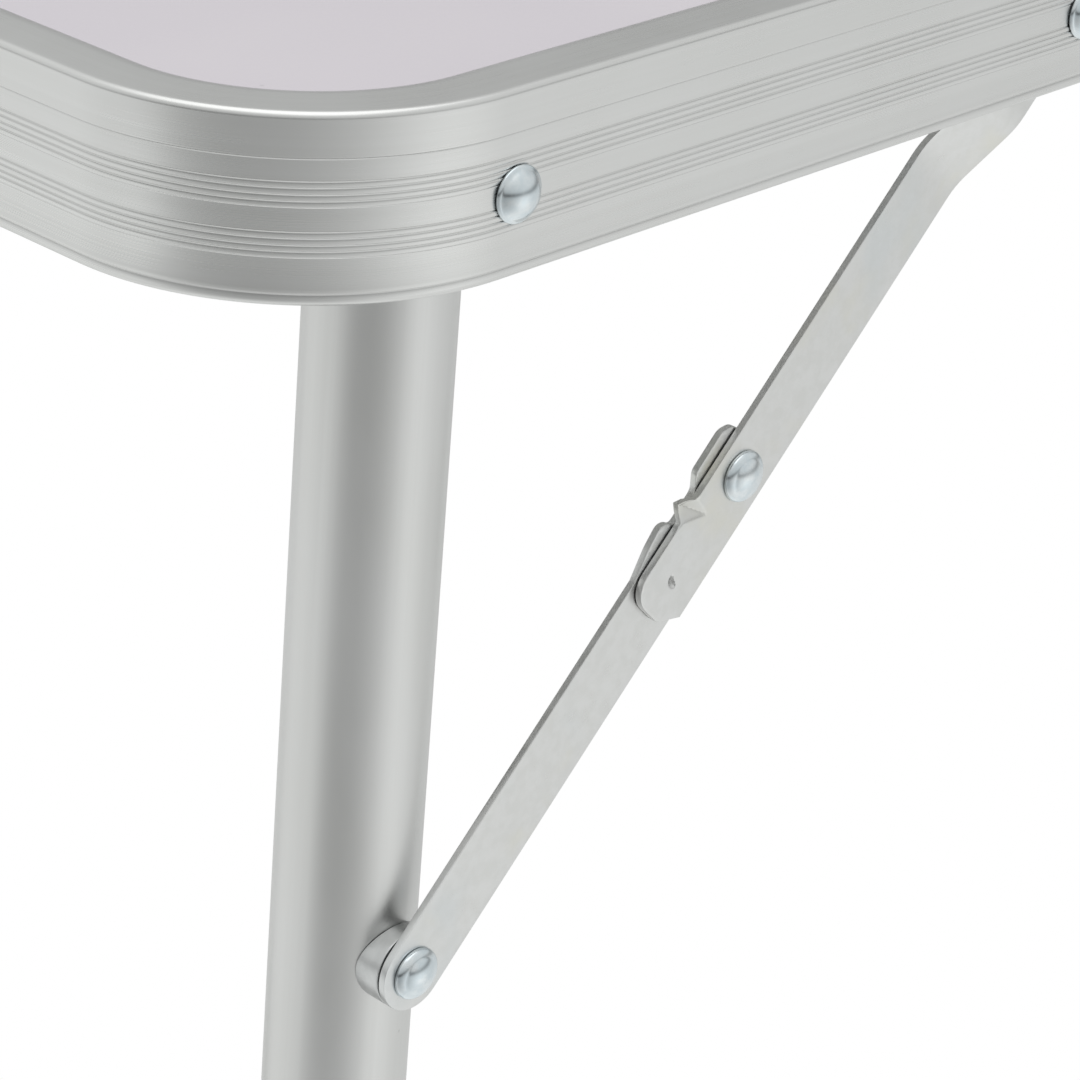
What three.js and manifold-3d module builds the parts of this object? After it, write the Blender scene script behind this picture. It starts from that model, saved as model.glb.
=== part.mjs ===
// A low folding table. A thin laminate board sits in a bent aluminium edge rail, and two leg frames fold flat
// into the recess under it. Each leg is held open by a brace of two flat links that snap straight.
// Millimetres, +Z up, +X along the long sides. The origin is on the floor, under the middle of the table.

import * as THREE from 'three';
import { mergeVertices } from 'three/addons/utils/BufferGeometryUtils.js';
import Module from 'manifold-3d';

const wasm = await Module();
wasm.setup();

// Whole table
const LENGTH = 900;
const WIDTH = 600;
const HEIGHT = 350;
const CORNER_RADIUS = 45;
const GAP = 0.3;                    // between pieces that are cut to fit each other
const CONTACT = 0.1;                // between flat faces that rest on each other
const ROUND_SIDES = 16;             // facets round a rivet, ring or hole
const TUBE_SIDES = 32;
const CORNER_STEPS = 10;
const LINK_ARC_STEPS = 6;
const PAST = 1;                     // how far a cutting tool runs past what it cuts
const CLEAR_OF_ALL = 20;            // half the size of a tool that is larger than any round piece

// Edge rail: a web with a crowned lip over the board, a ledge under it and a return at the bottom
const RAIL_HEIGHT = 30.5;
const WEB = 1.5;
const LIP_REACH = 11.3;
const LIP_DEPTH = 1.2;
const LEDGE_REACH = 9.5;
const LEDGE_TOP = 4.3;              // below the top of the rail
const LEDGE_DEPTH = 1.0;
const RETURN_REACH = 3.5;
const RETURN_DEPTH = 1.5;
const EDGE_ROUND = 1.7;
const EDGE_FACET = EDGE_ROUND * 0.3; // where the two facets of a rounded edge meet

// Board, splices and support bar
const BOARD_TOP = 1.1;              // each level below the top of the rail
const BOARD_REBATE = 1.5;
const BOARD_BOTTOM = 4.0;
const SPLICE_LENGTH = 60;
const SPLICE_THICKNESS = 1.7;
const SPLICE_TOP = 7.0;
const SPLICE_BOTTOM = 28.0;
const BAR_WIDTH = 20;
const BAR_HEIGHT = 5;

// Leg frames
const SPLAY = THREE.MathUtils.degToRad(2.2);
const LEG_PIVOT_INSET = 48;         // from the end of the table
const PIVOT_DROP = 16.9;            // below the top of the rail
const TUBE_RADIUS = 12.5;
const TUBE_WALL = 1.2;
const TUBE_FACE = 15.2;             // from the outside of the rail to the near side of the leg
const CROSS_RADIUS = 9.5;
const CROSS_DISTANCE = 255;         // down the leg from its pivot
const CAP_HEIGHT = 14;
const PLUG_DEPTH = 20;
const PLUG_RADIUS = TUBE_RADIUS - TUBE_WALL - GAP;

// Brace
const PIVOT_DISTANCE = 140.6;       // from the leg pivot to both ends of the brace
const STRAP = 1.4;                  // thickness
const HALF_STRAP = 7.0;             // half the width
const TAIL = 27.8;                  // how far the upper link runs on past the middle pivot
const UPPER_FACE = 4.0;             // outer face of the upper link at the rail, from the rail's outside
const MAIN_FACE = 8.5;              // outer face of the upper link past its joggle
const LOWER_FACE = 10.1;            // outer face of the lower link
const JOGGLE_START = 21.6;          // along the upper link from its top pivot
const JOGGLE_END = 35.7;
const TOOTH_START = 10.2;           // past the middle pivot
const TOOTH_END = 14.2;
const TOOTH_TOP = 8.4;
const TOOTH_REACH = 12.2;           // how far in the tooth comes, from the outside of the rail

// The lower link's edge on the leg's side: [past the middle pivot, out from the link's axis]
const UPPER_LOBE = [[-5.4, 7.0], [-3.4, 9.2], [4.9, 9.2]];
const NOTCH = [[7.6, 6.6], [14.6, 6.6]];
const LOWER_LOBE = [[15.4, 8.6], [16.6, 9.4], [20.6, 8.8], [26.5, HALF_STRAP]];
const LOBE_TURN = Math.PI * 1.2;    // where the round end gives way to the upper lobe

// Rivets, rings and the open pivot at the foot of the brace
const SHANK_RADIUS = 2.3;
const HOLE_RADIUS = 2.5;
const HEAD_RADIUS = 4.7;
const HEAD_HEIGHT = 2.8;
const CLINCH_RADIUS = 3.8;
const CLINCH_HEIGHT = 1.3;
const CLINCH_TIP = CLINCH_RADIUS * 0.85;
const HEAD_STEPS = 3;
const RING_RADIUS = 6.0;
const SPACER_RADIUS = 7.0;
const SPACER_FACE = 11.8;
const STUD_START = 12.0;

// Worked-out places, in the quarter with the lowest X and Y
const PIVOT_Z = HEIGHT - PIVOT_DROP;
const LEG_X = LENGTH / 2 - LEG_PIVOT_INSET;
const SIDE_Y = WIDTH / 2;
const TUBE_AXIS = TUBE_FACE + TUBE_RADIUS;
const FAR_SIDE = TUBE_FACE + 2 * TUBE_RADIUS;
const BRACE_X = LEG_X - PIVOT_DISTANCE;
const BRACE_ANGLE = (Math.PI / 2 - SPLAY) / 2;      // below level, at rest
const LINK = PIVOT_DISTANCE * Math.cos(BRACE_ANGLE);
const MIDDLE_X = BRACE_X + LINK * Math.cos(BRACE_ANGLE);
const MIDDLE_Z = PIVOT_Z - LINK * Math.sin(BRACE_ANGLE);
const FOOT_X = LEG_X + PIVOT_Z * Math.tan(SPLAY);
const LOWER_X = LEG_X + PIVOT_DISTANCE * Math.sin(SPLAY);
const LOWER_Z = PIVOT_Z - PIVOT_DISTANCE * Math.cos(SPLAY);

const aluminium = new THREE.MeshStandardMaterial({ color: 0xc4c5c4, roughness: 0.38, metalness: 0.9 });
const tubeAluminium = new THREE.MeshStandardMaterial({ color: 0xb9bab8, roughness: 0.42, metalness: 0.9 });
const zincStrap = new THREE.MeshStandardMaterial({ color: 0xc9c9c4, roughness: 0.4, metalness: 0.85 });
const zincRivet = new THREE.MeshStandardMaterial({ color: 0xc2cbd0, roughness: 0.22, metalness: 0.95 });
const laminate = new THREE.MeshStandardMaterial({ color: 0xd6d1dc, roughness: 0.35, metalness: 0.0 });
const plastic = new THREE.MeshStandardMaterial({ color: 0x2b2c2e, roughness: 0.6, metalness: 0.0 });

// Solids

function toSolid(geometry) {
  const bare = geometry.clone();
  bare.deleteAttribute('normal');
  bare.deleteAttribute('uv');
  const merged = mergeVertices(bare);
  return new wasm.Manifold(new wasm.Mesh({
    numProp: 3,
    vertProperties: new Float32Array(merged.attributes.position.array),
    triVerts: new Uint32Array(merged.index.array),
  }));
}

function toGeometry(solid) {
  const mesh = solid.getMesh();
  const geometry = new THREE.BufferGeometry();
  geometry.setAttribute('position', new THREE.BufferAttribute(new Float32Array(mesh.vertProperties), 3));
  geometry.setIndex(new THREE.BufferAttribute(new Uint32Array(mesh.triVerts), 1));
  geometry.computeVertexNormals();
  return geometry;
}

function cut(geometry, ...tools) {
  return toGeometry(tools.reduce((solid, tool) => solid.subtract(toSolid(tool)), toSolid(geometry)));
}

function join(geometry, ...others) {
  return toGeometry(others.reduce((solid, other) => solid.add(toSolid(other)), toSolid(geometry)));
}

function keep(geometry, other) {
  return toGeometry(toSolid(geometry).intersect(toSolid(other)));
}

function box(x, y, z) {
  const geometry = new THREE.BoxGeometry(x[1] - x[0], y[1] - y[0], z[1] - z[0]);
  return geometry.translate((x[0] + x[1]) / 2, (y[0] + y[1]) / 2, (z[0] + z[1]) / 2);
}

// A round bar along Y.
function bar(radius, y, x = 0, z = 0, sides = ROUND_SIDES) {
  const geometry = new THREE.CylinderGeometry(radius, radius, y[1] - y[0], sides);
  return geometry.translate(x, (y[0] + y[1]) / 2, z);
}

// A body turned about Y from [radius, y] points, anticlockwise in that plane.
function turned(points, sides = ROUND_SIDES) {
  return new THREE.LatheGeometry(points.map(([radius, y]) => new THREE.Vector2(radius, y)), sides);
}

function ring(outer, inner, y, sides = ROUND_SIDES) {
  return turned([[inner, y[0]], [outer, y[0]], [outer, y[1]], [inner, y[1]], [inner, y[0]]], sides);
}

// A flat plate of a shape in X and Z, between two values of Y.
function plate(shape, y) {
  const depth = y[1] - y[0];
  const options = { depth, bevelEnabled: false, curveSegments: LINK_ARC_STEPS };
  const geometry = new THREE.ExtrudeGeometry(shape, options);
  return geometry.rotateX(Math.PI / 2).translate(0, y[1], 0);
}

function polygon(points) {
  return new THREE.Shape(points.map(([x, y]) => new THREE.Vector2(x, y)));
}

// A piece made for the quarter with the lowest X and Y, mirrored to the quarter of the given signs.
function mirrored(geometry, sideX, sideY) {
  const copy = geometry.clone().scale(-sideX, -sideY, 1);
  if (sideX * sideY < 0) {
    const index = copy.index.array;
    for (let i = 0; i < index.length; i += 3) {
      [index[i], index[i + 1]] = [index[i + 1], index[i]];
    }
  }
  copy.computeVertexNormals();
  return copy;
}

// Edge rail

// The rail's section: inset from the outside, and height above the top of the rail.
function railSection() {
  return polygon([
    [0, -RAIL_HEIGHT + EDGE_ROUND],
    [EDGE_FACET, -RAIL_HEIGHT + EDGE_FACET],
    [EDGE_ROUND, -RAIL_HEIGHT],
    [RETURN_REACH, -RAIL_HEIGHT],
    [RETURN_REACH, -RAIL_HEIGHT + RETURN_DEPTH],
    [WEB, -RAIL_HEIGHT + RETURN_DEPTH],
    [WEB, -LEDGE_TOP - LEDGE_DEPTH],
    [LEDGE_REACH, -LEDGE_TOP - LEDGE_DEPTH],
    [LEDGE_REACH, -LEDGE_TOP],
    [WEB, -LEDGE_TOP],
    [WEB, -LIP_DEPTH],
    [LIP_REACH, -LIP_DEPTH],
    [LIP_REACH, -EDGE_FACET],
    [LIP_REACH - EDGE_ROUND, 0],
    [EDGE_ROUND, 0],
    [EDGE_FACET, -EDGE_FACET],
    [0, -EDGE_ROUND],
  ]);
}

// Places along half of the rail, from the middle of the back round two corners to the middle of the front.
function railStations() {
  const stations = [];
  const centreX = -(LENGTH / 2 - CORNER_RADIUS);
  const cornerY = SIDE_Y - CORNER_RADIUS;
  stations.push({ x: 0, y: SIDE_Y, inward: new THREE.Vector2(0, -1) });
  for (const [centreY, startAngle] of [[cornerY, Math.PI / 2], [-cornerY, Math.PI]]) {
    for (let step = 0; step <= CORNER_STEPS; step += 1) {
      const angle = startAngle + (step / CORNER_STEPS) * (Math.PI / 2);
      const x = centreX + CORNER_RADIUS * Math.cos(angle);
      const y = centreY + CORNER_RADIUS * Math.sin(angle);
      stations.push({ x, y, inward: new THREE.Vector2(-Math.cos(angle), -Math.sin(angle)) });
    }
  }
  stations.push({ x: 0, y: -SIDE_Y, inward: new THREE.Vector2(0, 1) });
  return stations;
}

// The section is extruded one step for each station, and its rings are then moved onto the stations.
function railHalf() {
  const stations = railStations();
  const steps = stations.length - 1;
  const geometry = new THREE.ExtrudeGeometry(railSection(), { depth: steps, steps, bevelEnabled: false });
  const position = geometry.attributes.position;
  for (let i = 0; i < position.count; i += 1) {
    const station = stations[Math.round(position.getZ(i))];
    const inset = position.getX(i);
    const x = station.x + inset * station.inward.x;
    const y = station.y + inset * station.inward.y;
    position.setXYZ(i, x, y, HEIGHT + position.getY(i));
  }
  const holes = [];
  for (const side of [-1, 1]) {
    for (const x of [-LEG_X, -BRACE_X]) {
      const middle = side * (SIDE_Y - WEB / 2);
      const reach = WEB / 2 + PAST;
      holes.push(bar(HOLE_RADIUS, [middle - reach, middle + reach], x, PIVOT_Z));
    }
  }
  const trimmed = keep(geometry, box([-LENGTH / 2, -GAP / 2], [-SIDE_Y, SIDE_Y], [0, HEIGHT]));
  return cut(trimmed, ...holes);
}

function splice() {
  const y = [-SIDE_Y + WEB + CONTACT, -SIDE_Y + WEB + CONTACT + SPLICE_THICKNESS];
  return box([-SPLICE_LENGTH / 2, SPLICE_LENGTH / 2], y, [HEIGHT - SPLICE_BOTTOM, HEIGHT - SPLICE_TOP]);
}

// Board and its support

function roundedRectangle(inset) {
  const x = LENGTH / 2 - inset;
  const y = SIDE_Y - inset;
  const radius = CORNER_RADIUS - inset;
  const shape = new THREE.Shape();
  shape.moveTo(-x + radius, -y);
  shape.absarc(x - radius, -y + radius, radius, -Math.PI / 2, 0);
  shape.absarc(x - radius, y - radius, radius, 0, Math.PI / 2);
  shape.absarc(-x + radius, y - radius, radius, Math.PI / 2, Math.PI);
  shape.absarc(-x + radius, -y + radius, radius, Math.PI, Math.PI * 1.5);
  return shape;
}

// The board's edge is rebated, so that its middle stands a little prouder, inside the rail's lip.
function board() {
  const layer = (inset, bottom, top) => new THREE.ExtrudeGeometry(
    roundedRectangle(inset),
    { depth: bottom - top, bevelEnabled: false, curveSegments: CORNER_STEPS },
  ).translate(0, 0, HEIGHT - bottom);
  const edge = layer(WEB + GAP, BOARD_BOTTOM, BOARD_REBATE);
  const middle = layer(LIP_REACH + GAP, BOARD_BOTTOM, BOARD_TOP);
  return join(edge, middle);
}

// A flat bar across the middle of the board, notched at its ends to pass under the rail's ledges.
function supportBar() {
  const top = HEIGHT - LEDGE_TOP;
  const bottom = top - BAR_HEIGHT;
  const reach = SIDE_Y - WEB - CONTACT - SPLICE_THICKNESS - GAP;
  const notch = SIDE_Y - LEDGE_REACH - GAP;
  const notchBottom = top - LEDGE_DEPTH - GAP;
  const across = BAR_WIDTH / 2 + PAST;
  return cut(
    box([-BAR_WIDTH / 2, BAR_WIDTH / 2], [-reach, reach], [bottom, top]),
    box([-across, across], [-SIDE_Y, -notch], [notchBottom, top + PAST]),
    box([-across, across], [notch, SIDE_Y], [notchBottom, top + PAST]),
  );
}

// Rivets and rings, along Y from the outer face of the quarter with the lowest Y

// A domed head outside y[0], and a clinched end past y[1].
function rivet(y) {
  const dome = [];
  const sphere = (HEAD_RADIUS ** 2 + HEAD_HEIGHT ** 2) / (2 * HEAD_HEIGHT);
  const spread = Math.asin(HEAD_RADIUS / sphere);
  const head = y[0] - CONTACT;
  const end = y[1] + CONTACT;
  for (let step = 0; step <= HEAD_STEPS; step += 1) {
    const angle = (step / HEAD_STEPS) * spread;
    dome.push([sphere * Math.sin(angle), head - HEAD_HEIGHT + sphere * (1 - Math.cos(angle))]);
  }
  return turned([
    ...dome,
    [SHANK_RADIUS, head],
    [SHANK_RADIUS, end],
    [CLINCH_RADIUS, end],
    [CLINCH_TIP, end + CLINCH_HEIGHT],
    [0, end + CLINCH_HEIGHT],
  ]);
}

// The lower rivet's outer half: its head and the shank inside the lower link.
function lowerRivet() {
  const across = [-CLEAR_OF_ALL, CLEAR_OF_ALL];
  const end = LOWER_FACE + STRAP - CONTACT;
  return cut(rivet([LOWER_FACE, TUBE_FACE]), box(across, [end, end + CLEAR_OF_ALL], across));
}

// The lower rivet's inner half: a stud through the spacer and the leg, clinched behind the leg.
function legStud() {
  const end = FAR_SIDE + GAP;
  return turned([
    [0, STUD_START],
    [SHANK_RADIUS, STUD_START],
    [SHANK_RADIUS, end],
    [CLINCH_RADIUS, end],
    [CLINCH_TIP, end + CLINCH_HEIGHT],
    [0, end + CLINCH_HEIGHT],
  ]);
}

// A round bar up and down in a leg's place, wide enough to leave a gap to the leg.
function legBar(y) {
  const upright = bar(TUBE_RADIUS + GAP, [-CLEAR_OF_ALL, CLEAR_OF_ALL], 0, 0, TUBE_SIDES);
  return upright.rotateX(Math.PI / 2).translate(0, y, 0);
}

// A round spacer whose inner end is hollowed to sit on the leg tube.
function braceSpacer() {
  const blank = ring(SPACER_RADIUS, HOLE_RADIUS, [SPACER_FACE, TUBE_FACE + TUBE_RADIUS / 2]);
  return cut(blank, legBar(TUBE_AXIS));
}

// Leg frame, in its own tilted frame with the leg pivot at the origin and the tube running down

function legTube() {
  const bottom = -(PIVOT_Z / Math.cos(SPLAY) - CAP_HEIGHT - GAP);
  const blank = ring(TUBE_RADIUS, TUBE_RADIUS - TUBE_WALL, [bottom, TUBE_RADIUS], TUBE_SIDES);
  const pipe = blank.rotateX(Math.PI / 2);
  const through = [-TUBE_RADIUS - PAST, TUBE_RADIUS + PAST];
  const nose = join(
    bar(TUBE_RADIUS, through, 0, 0, TUBE_SIDES),
    box(through, through, [bottom - PAST, 0]),
  );
  return cut(
    keep(pipe, nose),
    bar(HOLE_RADIUS, through),
    bar(HOLE_RADIUS, through, 0, -PIVOT_DISTANCE),
  );
}

// The cross tube's ends are hollowed to fit against the legs.
function crossTube() {
  const axis = SIDE_Y - TUBE_AXIS;
  const pipe = ring(CROSS_RADIUS, CROSS_RADIUS - TUBE_WALL, [-axis, axis], TUBE_SIDES);
  return cut(pipe, legBar(-axis), legBar(axis));
}

// A foot cap with a plug up inside the leg, cut level where it stands on the floor. Its origin is where
// the leg's axis meets the floor.
function footCap() {
  const below = TUBE_RADIUS * Math.tan(SPLAY) + PAST;
  const blank = turned([
    [0, -below],
    [TUBE_RADIUS, -below],
    [TUBE_RADIUS, CAP_HEIGHT],
    [PLUG_RADIUS, CAP_HEIGHT],
    [PLUG_RADIUS, CAP_HEIGHT + PLUG_DEPTH],
    [0, CAP_HEIGHT + PLUG_DEPTH],
  ], TUBE_SIDES);
  const tilted = blank.rotateX(Math.PI / 2).rotateY(SPLAY);
  const reach = TUBE_RADIUS * 2;
  return keep(tilted, box([-reach, reach], [-reach, reach], [0, CAP_HEIGHT + 2 * PLUG_DEPTH]));
}

// Brace links, along +X from their upper pivot, with the side that faces the leg pivot towards -Z

function linkOutline(end) {
  const shape = new THREE.Shape();
  shape.absarc(0, 0, HALF_STRAP, Math.PI / 2, Math.PI * 1.5);
  shape.absarc(end, 0, HALF_STRAP, -Math.PI / 2, Math.PI / 2);
  return shape;
}

function linkHole(x) {
  return bar(HOLE_RADIUS, [0, TUBE_FACE], x);
}

// The upper link steps in past the rail, and its tail carries a tooth bent in towards the lower link.
function upperLink() {
  const end = LINK + TAIL;
  const bend = Math.atan((MAIN_FACE - UPPER_FACE) / (JOGGLE_END - JOGGLE_START)) / 2;
  const shift = STRAP * Math.tan(bend);
  const side = polygon([
    [-HALF_STRAP, UPPER_FACE],
    [JOGGLE_START, UPPER_FACE],
    [JOGGLE_END, MAIN_FACE],
    [end, MAIN_FACE],
    [end, MAIN_FACE + STRAP],
    [JOGGLE_END - shift, MAIN_FACE + STRAP],
    [JOGGLE_START - shift, UPPER_FACE + STRAP],
    [-HALF_STRAP, UPPER_FACE + STRAP],
  ]);
  const width = HALF_STRAP + PAST;
  const strip = new THREE.ExtrudeGeometry(side, { depth: 2 * width, bevelEnabled: false });
  const strap = keep(strip.translate(0, 0, -width), plate(linkOutline(end - HALF_STRAP), [0, TUBE_FACE]));
  const along = [LINK + TOOTH_START, LINK + TOOTH_END];
  const bent = MAIN_FACE + STRAP / 2;
  const tooth = join(
    box(along, [MAIN_FACE, MAIN_FACE + STRAP], [-TOOTH_TOP, -HALF_STRAP + PAST]),
    box(along, [bent, TOOTH_REACH], [-TOOTH_TOP, -HALF_STRAP - CONTACT]),
  );
  return cut(join(strap, tooth), linkHole(0), linkHole(LINK));
}

// The lower link has two lobes by the middle pivot, with the notch for the tooth between them.
function lowerLink() {
  const shape = new THREE.Shape();
  shape.absarc(0, 0, HALF_STRAP, Math.PI / 2, LOBE_TURN);
  for (const [along, out] of [...UPPER_LOBE, ...NOTCH, ...LOWER_LOBE]) {
    shape.lineTo(along, -out);
  }
  shape.absarc(LINK, 0, HALF_STRAP, -Math.PI / 2, Math.PI / 2);
  return cut(plate(shape, [LOWER_FACE, LOWER_FACE + STRAP]), linkHole(0), linkHole(LINK));
}

// Assembly

const table = new THREE.Group();

function addMesh(parent, name, geometry, material, x = 0, y = 0, z = 0) {
  const mesh = new THREE.Mesh(geometry, material);
  mesh.name = name;
  mesh.position.set(x, y, z);
  parent.add(mesh);
}

const halfRail = railHalf();
const oneSplice = splice();
addMesh(table, 'table_board', board(), laminate);
addMesh(table, 'support_bar', supportBar(), aluminium);
addMesh(table, 'edge_rail_left', halfRail, aluminium);
addMesh(table, 'edge_rail_right', mirrored(halfRail, 1, -1), aluminium);
addMesh(table, 'rail_splice_front', oneSplice, aluminium);
addMesh(table, 'rail_splice_back', mirrored(oneSplice, -1, 1), aluminium);

const legRivet = rivet([0, FAR_SIDE + GAP]);
const braceRivet = rivet([0, UPPER_FACE + STRAP]);
const middleRivet = rivet([MAIN_FACE, LOWER_FACE + STRAP]);
const legBush = ring(RING_RADIUS, HOLE_RADIUS, [WEB + GAP, TUBE_FACE - GAP]);
const braceWasher = ring(RING_RADIUS, HOLE_RADIUS, [WEB + CONTACT, UPPER_FACE - CONTACT]);
const outerLowerRivet = lowerRivet();
const stud = legStud();
const spacer = braceSpacer();
const tube = legTube();
const cross = crossTube();
const cap = footCap();
const braceTurn = Math.PI - BRACE_ANGLE;
const upper = upperLink().rotateY(braceTurn);
const lower = lowerLink().rotateY(braceTurn);

for (const sideX of [-1, 1]) {
  const end = sideX < 0 ? 'left' : 'right';
  const frame = new THREE.Group();
  frame.position.set(sideX * LEG_X, 0, PIVOT_Z);
  frame.rotation.y = -sideX * SPLAY;
  table.add(frame);
  addMesh(frame, `cross_tube_${end}`, cross, tubeAluminium, 0, 0, -CROSS_DISTANCE);
  for (const sideY of [-1, 1]) {
    const corner = `${sideY < 0 ? 'front' : 'back'}_${end}`;
    const y = sideY * SIDE_Y;
    const addCorner = (name, geometry, material, x, z) => {
      addMesh(table, `${name}_${corner}`, mirrored(geometry, sideX, sideY), material, sideX * x, y, z);
    };
    addMesh(frame, `leg_tube_${corner}`, tube, tubeAluminium, 0, sideY * (SIDE_Y - TUBE_AXIS), 0);
    addMesh(frame, `brace_spacer_${corner}`, mirrored(spacer, -1, sideY), zincRivet, 0, y, -PIVOT_DISTANCE);
    addMesh(frame, `leg_stud_${corner}`, mirrored(stud, -1, sideY), zincRivet, 0, y, -PIVOT_DISTANCE);
    addMesh(
      table, `foot_cap_${corner}`, mirrored(cap, sideX, -1), plastic,
      sideX * FOOT_X, sideY * (SIDE_Y - TUBE_AXIS), 0,
    );
    addCorner('leg_pivot_rivet', legRivet, zincRivet, LEG_X, PIVOT_Z);
    addCorner('leg_pivot_bush', legBush, plastic, LEG_X, PIVOT_Z);
    addCorner('brace_pivot_rivet', braceRivet, zincRivet, BRACE_X, PIVOT_Z);
    addCorner('brace_pivot_washer', braceWasher, zincRivet, BRACE_X, PIVOT_Z);
    addCorner('upper_link', upper, zincStrap, BRACE_X, PIVOT_Z);
    addCorner('lower_link', lower, zincStrap, MIDDLE_X, MIDDLE_Z);
    addCorner('middle_rivet', middleRivet, zincRivet, MIDDLE_X, MIDDLE_Z);
    addCorner('lower_rivet', outerLowerRivet, zincRivet, LOWER_X, LOWER_Z);
  }
}

export default table;
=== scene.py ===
"""Looks for the low folding table: satin aluminium, zinc-plated brace links and a white laminate board."""
import math

import bmesh
import bpy
from mathutils import Matrix, Vector
from mathutils.geometry import delaunay_2d_cdt


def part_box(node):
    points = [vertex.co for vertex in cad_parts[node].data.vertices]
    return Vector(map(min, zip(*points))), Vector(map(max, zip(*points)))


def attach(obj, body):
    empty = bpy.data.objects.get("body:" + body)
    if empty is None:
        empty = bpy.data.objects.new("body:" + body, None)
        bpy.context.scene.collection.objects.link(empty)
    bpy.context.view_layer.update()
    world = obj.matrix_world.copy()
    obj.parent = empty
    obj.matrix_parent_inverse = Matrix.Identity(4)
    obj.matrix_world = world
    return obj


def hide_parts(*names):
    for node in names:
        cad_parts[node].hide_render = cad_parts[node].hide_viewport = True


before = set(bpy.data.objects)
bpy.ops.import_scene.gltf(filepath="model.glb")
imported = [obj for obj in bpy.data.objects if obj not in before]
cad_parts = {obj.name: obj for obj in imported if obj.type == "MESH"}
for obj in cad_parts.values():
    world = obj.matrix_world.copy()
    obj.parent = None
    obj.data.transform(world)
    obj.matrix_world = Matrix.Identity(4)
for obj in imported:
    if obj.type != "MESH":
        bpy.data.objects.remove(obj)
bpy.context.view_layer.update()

MM = 0.001

# ---------------------------------------------------------------- places, from the frame

RAIL_LOW, RAIL_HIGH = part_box("edge_rail_left")
TOP = RAIL_HIGH.z
RAIL_HEIGHT = TOP - RAIL_LOW.z
HALF_LENGTH = -RAIL_LOW.x
HALF_WIDTH = -RAIL_LOW.y
RAIL_END = -RAIL_HIGH.x
BOARD_LOW, BOARD_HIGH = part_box("table_board")


def middle(node):
    low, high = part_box(node)
    return (low + high) / 2


LEG_PIVOT = middle("leg_pivot_bush_front_left")
BRACE_PIVOT = middle("brace_pivot_washer_front_left")
KNEE = middle("middle_rivet_front_left")
BRACE_FOOT = middle("lower_rivet_front_left")
TUBE_LOW, TUBE_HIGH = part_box("leg_tube_front_left")
TUBE_RADIUS = (TUBE_HIGH.y - TUBE_LOW.y) / 2
TUBE_Y = (TUBE_HIGH.y + TUBE_LOW.y) / 2
CROSS_LOW, CROSS_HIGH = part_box("cross_tube_left")
CROSS = (CROSS_LOW + CROSS_HIGH) / 2
CROSS_RADIUS = (CROSS_HIGH.x - CROSS_LOW.x) / 2
LINK_LENGTH = math.hypot(KNEE.x - BRACE_PIVOT.x, KNEE.z - BRACE_PIVOT.z)
LEG_DOWN = Vector((BRACE_FOOT.x - LEG_PIVOT.x, 0, BRACE_FOOT.z - LEG_PIVOT.z)).normalized()
SPLAY = math.atan2(-LEG_DOWN.x, -LEG_DOWN.z)
LINK_DOWN = Vector((KNEE.x - BRACE_PIVOT.x, 0, KNEE.z - BRACE_PIVOT.z)).normalized()
LINK_OUT = Vector((LINK_DOWN.z, 0, -LINK_DOWN.x))   # across a link, towards the leg pivot

UPPER_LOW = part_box("upper_link_front_left")[0]
LOWER_LOW, LOWER_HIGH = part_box("lower_link_front_left")
STRAP = LOWER_HIGH.y - LOWER_LOW.y

# ---------------------------------------------------------------- sizes of the finer shapes

CORNER_RADIUS = 45 * MM
CORNER_STEPS = 44
ROUND_STEPS = 72
TUBE_WALL = 1.2 * MM
HALF_STRAP = 7 * MM
TAIL = 29.2 * MM
UPPER_STEP = 4.5 * MM
MAIN_FACE = UPPER_LOW.y + UPPER_STEP
JOGGLE = (21.6 * MM, 35.7 * MM)
JOGGLE_SOFTNESS = 5 * MM
EDGE_BREAK = 0.22 * MM
HOLE_RADIUS = 2.5 * MM
HEAD_RADIUS = 4.7 * MM
SHANK_RADIUS = 2.3 * MM
CLINCH_RADIUS = 3.8 * MM
CLINCH_DEPTH = 1.3 * MM
AXIS_GAP = 0.02 * MM          # a turned body's smallest radius, where its outline meets its axis
GRID_SPACING = 1.8 * MM       # between the points of a link's faces
LEG_CAP_HEIGHT = 14 * MM


# ---------------------------------------------------------------- meshes

class Shell:
    """Points, faces and face-corner UVs, gathered before they become a mesh."""

    def __init__(self):
        self.points = []
        self.faces = []
        self.uvs = []

    def add_points(self, points):
        start = len(self.points)
        self.points.extend(Vector(p) for p in points)
        return start

    def add_face(self, corners, uvs):
        self.faces.append(corners)
        self.uvs.append(uvs)

    def loft(self, rings, loop=False, capped=True):
        """Skins a list of closed rings. UVs run in metres, along the rings' path and round each ring."""
        count = len(rings[0])
        starts = [self.add_points(ring) for ring in rings]
        around = [0.0]
        for j in range(count):
            around.append(around[-1] + (Vector(rings[0][(j + 1) % count]) - Vector(rings[0][j])).length)
        along = [0.0]
        for previous, ring in zip(rings, rings[1:]):
            along.append(along[-1] + (Vector(ring[0]) - Vector(previous[0])).length)
        pairs = list(zip(range(len(rings) - 1), range(1, len(rings))))
        if loop:
            pairs.append((len(rings) - 1, 0))
            along.append(along[-1] + (Vector(rings[0][0]) - Vector(rings[-1][0])).length)
        for i, k in pairs:
            for j in range(count):
                n = (j + 1) % count
                corners = [starts[i] + j, starts[i] + n, starts[k] + n, starts[k] + j]
                low, high = along[i], along[i + 1]
                self.add_face(corners, [(low, around[j]), (low, around[j + 1]),
                                        (high, around[j + 1]), (high, around[j])])
        if capped and not loop:
            for start, ring in ((starts[0], rings[0]), (starts[-1], rings[-1])):
                corners = list(range(start, start + count))
                self.add_face(corners, [(Vector(p).x, Vector(p).y) for p in ring])


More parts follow.
